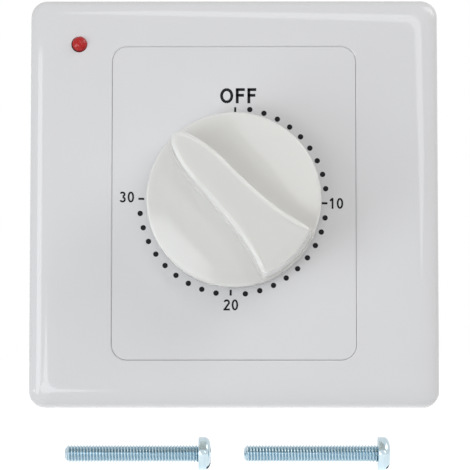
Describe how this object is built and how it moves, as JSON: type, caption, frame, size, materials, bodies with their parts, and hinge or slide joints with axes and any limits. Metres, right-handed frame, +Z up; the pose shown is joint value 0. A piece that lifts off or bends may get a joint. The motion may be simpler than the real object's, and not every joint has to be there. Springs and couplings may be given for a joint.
{
  "type": "timer light switch",
  "caption": "Square white wall switch with a spring-wound countdown timer: clip-on cover frame, dial plate, turning knob with a tapered grip, clockwork, cam contact and rear box.",
  "frame": {"origin": "middle of the two mounting holes, in the plane of the wall", "axes": "+Z up, +X to the right seen from the front, +Y into the wall, so the panel faces -Y"},
  "size_m": [0.086, 0.0555, 0.1008],
  "materials": {
    "white_gloss": "glossy moulded plastic",
    "ivory_matte": "satin moulded plastic",
    "bakelite": "moulded phenolic",
    "steel": "brushed",
    "zinc": "bright zinc plating",
    "brass": "stamped and turned",
    "red_lens": "clear red moulded lens",
    "lamp_glass": "clear glass",
    "resistor": "lacquered",
    "ink": "printed on the dial plate"
  },
  "bodies": {
    "base": {"base_plate": "ivory_matte", "dial_plate": "white_gloss", "dial_screws": "steel", "rear_housing": "ivory_matte", "housing_screws": "steel", "front_movement_plate": "steel", "rear_movement_plate": "steel", "movement_pillars": "brass", "movement_screws": "steel", "mainspring": "steel", "spring_anchor": "brass", "contact_block": "bakelite", "block_screws": "steel", "leaf_terminal": "brass", "fixed_contact": "brass", "terminal_sleeves": "brass", "terminal_screws": "steel", "neon_lamp": "lamp_glass", "lamp_resistor": "resistor", "mounting_screws": "zinc"},
    "cover": {"cover_frame": "white_gloss", "indicator_lens": "red_lens"},
    "knob_shaft": {"knob": "white_gloss", "knob_clip": "steel", "main_arbor": "steel", "main_wheel": "brass", "contact_cam": "ivory_matte"},
    "second": {"second_arbor": "steel", "second_wheel": "brass"},
    "third": {"third_arbor": "steel", "third_wheel": "brass"},
    "escape": {"escape_arbor": "steel", "escape_wheel": "brass"},
    "balance": {"balance_arbor": "steel", "pallet_lever": "steel", "balance_wheel": "brass"},
    "leaf": {"moving_contact": "brass"}
  },
  "joints": [
    {"name": "knob_turn", "type": "hinge", "parent": "base", "child": "knob_shaft", "pos_m": [0, 0, 0], "axis": [0, 1, 0], "range_deg": [-315, 0]},
    {"name": "second_turn", "type": "hinge", "parent": "base", "child": "second", "pos_m": [-0.00957, 0, -0.00957], "axis": [0, 1, 0], "range_deg": [0, 1260]},
    {"name": "third_turn", "type": "hinge", "parent": "base", "child": "third", "pos_m": [0.00065, 0, -0.01212], "axis": [0, 1, 0], "range_deg": [-5040, 0]},
    {"name": "escape_turn", "type": "hinge", "parent": "base", "child": "escape", "pos_m": [0.00873, 0, -0.00919], "axis": [0, 1, 0], "range_deg": [0, 20160]},
    {"name": "balance_swing", "type": "hinge", "parent": "base", "child": "balance", "pos_m": [0.01413, 0, -0.0054], "axis": [0, 1, 0], "range_deg": [-4, 4]},
    {"name": "contact_open", "type": "hinge", "parent": "base", "child": "leaf", "pos_m": [0.00915, 0.0177, -0.0139], "axis": [0, 1, 0], "range_deg": [0, 4], "stiffness_Nm_per_rad": 0.02},
    {"name": "cover_unclip", "type": "slide", "parent": "base", "child": "cover", "axis": [0, -1, 0], "range_m": [0, 0.04]}
  ],
  "couplings": [
    {"joint": "second_turn", "follows": "knob_turn", "ratio": -4},
    {"joint": "third_turn", "follows": "knob_turn", "ratio": 16},
    {"joint": "escape_turn", "follows": "knob_turn", "ratio": -64}
  ]
}
